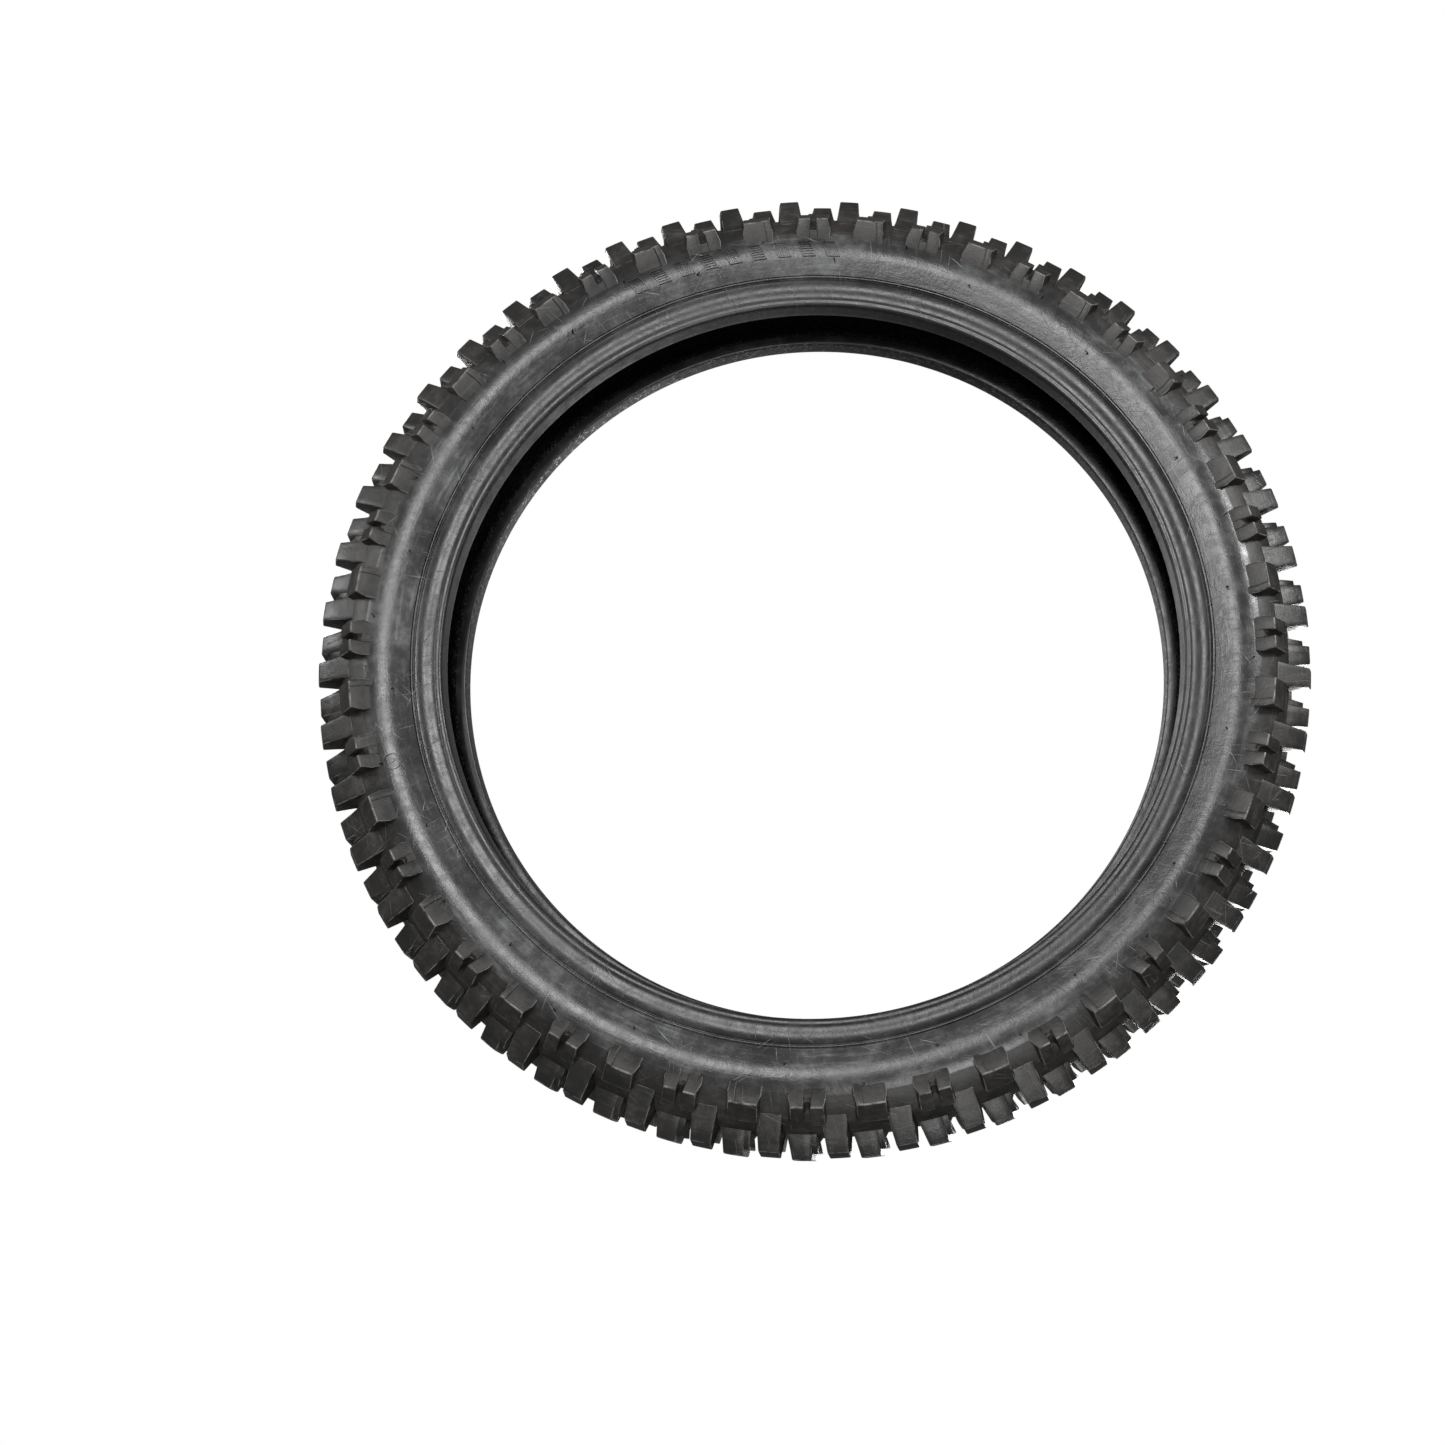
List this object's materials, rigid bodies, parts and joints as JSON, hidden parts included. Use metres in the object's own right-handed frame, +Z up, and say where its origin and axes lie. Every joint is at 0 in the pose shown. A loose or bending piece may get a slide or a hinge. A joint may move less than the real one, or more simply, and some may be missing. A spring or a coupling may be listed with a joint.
{
  "type": "motorcycle tire",
  "caption": "Bare off-road motorcycle tire, tube type, with block tread, split and solid shoulder knobs, plain sidewalls and two wire beads around an open rim seat.",
  "frame": {"origin": "centre of the tire, on its axle axis and its centre plane", "axes": "+Y along the axle axis towards the right side, +Z up with the tire standing on its tread, travel towards -X"},
  "size_m": [0.488, 0.0666, 0.488],
  "materials": {
    "tread_rubber": "moulded tread rubber, dusty brownish black, matt with slightly polished knob edges",
    "sidewall_rubber": "moulded sidewall rubber, dark grey with chalky light mottling, satin",
    "bead_rubber": "smooth hard rim strip rubber, satin",
    "liner_rubber": "thin black rubber with a fine knurled bladder print",
    "core_rubber": "hard black bead rubber",
    "ply_cord": "nylon tyre cord in black rubber skim",
    "breaker_cord": "nylon breaker cord in black rubber skim",
    "bead_steel": "bronze-coated steel bead wire"
  },
  "bodies": {
    "root": {"inner_liner": "liner_rubber", "inner_ply": "ply_cord", "outer_ply": "ply_cord", "breaker_ply": "breaker_cord", "undertread": "tread_rubber", "tread_cap": "tread_rubber", "centre_knobs": "tread_rubber", "bead_wires_left": "bead_steel", "bead_wires_right": "bead_steel", "bead_coating_left": "core_rubber", "bead_coating_right": "core_rubber", "bead_flipper_left": "ply_cord", "bead_flipper_right": "ply_cord", "bead_filler_left": "core_rubber", "bead_filler_right": "core_rubber", "chafer_left": "bead_rubber", "chafer_right": "bead_rubber", "sidewall_left": "sidewall_rubber", "sidewall_right": "sidewall_rubber", "split_knobs_left": "tread_rubber", "split_knobs_right": "tread_rubber", "solid_knobs_left": "tread_rubber", "solid_knobs_right": "tread_rubber", "middle_knobs_left": "tread_rubber", "middle_knobs_right": "tread_rubber", "direction_arrow_left": "sidewall_rubber", "direction_arrow_right": "sidewall_rubber", "marking_bars_left": "sidewall_rubber", "marking_bars_right": "sidewall_rubber", "mark_rings_left": "sidewall_rubber", "mark_rings_right": "sidewall_rubber", "vent_spews_left": "sidewall_rubber", "vent_spews_right": "sidewall_rubber"}
  },
  "joints": []
}
